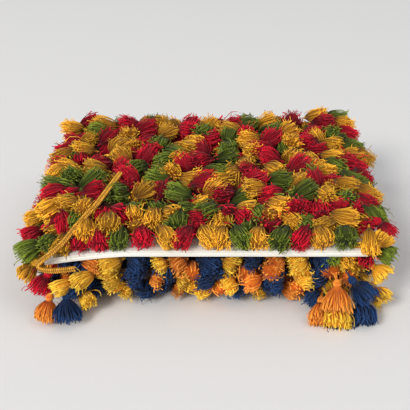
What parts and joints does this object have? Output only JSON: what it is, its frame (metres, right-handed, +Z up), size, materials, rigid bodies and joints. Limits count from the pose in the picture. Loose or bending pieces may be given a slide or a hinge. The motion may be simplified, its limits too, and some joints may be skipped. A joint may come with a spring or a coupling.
{
  "type": "tassel fringe trim wound on a card",
  "caption": "Gimp-headed fringe of small cotton tassels, wound flat round a white card in two colourways, with loose tassels at both ends.",
  "frame": {"origin": "under the middle of the whole bundle, on the table", "axes": "+X along the bundle's long side, the way the turns run; the front, where the card's edge shows, faces -Y; +Z up"},
  "size_m": [0.462, 0.368, 0.1399],
  "materials": {
    "card": "smooth white board",
    "upper_winding": "cut cotton yarn in mustard, crimson and green",
    "lower_winding": "cut cotton yarn in yellow, navy and orange",
    "gimp": "braided gold gimp heading",
    "crimson": "cut cotton yarn",
    "mustard": "cut cotton yarn",
    "green": "cut cotton yarn",
    "navy": "cut cotton yarn",
    "orange": "cut cotton yarn",
    "yellow": "cut cotton yarn"
  },
  "bodies": {
    "root": {"card": "card", "upper_winding": "upper_winding", "lower_winding": "lower_winding", "last_turn": "gimp", "front_heading": "gimp", "tassel_left_orange": "orange", "tassel_left_navy": "navy", "tassel_left_yellow": "yellow", "tassel_left_floor": "yellow", "tassel_left_crimson": "crimson", "tassel_left_mustard": "mustard", "tassel_left_green": "green", "tassel_left_red": "crimson", "tassel_left_gold": "mustard", "tassel_right_yellow": "yellow", "tassel_right_orange": "orange", "tassel_right_floor": "orange", "tassel_right_navy": "navy", "tassel_right_blue": "navy", "tassel_right_high": "yellow", "tassel_right_low": "yellow", "tassel_right_green": "green", "tassel_right_gold": "mustard", "tassel_right_crimson": "crimson"}
  },
  "joints": []
}
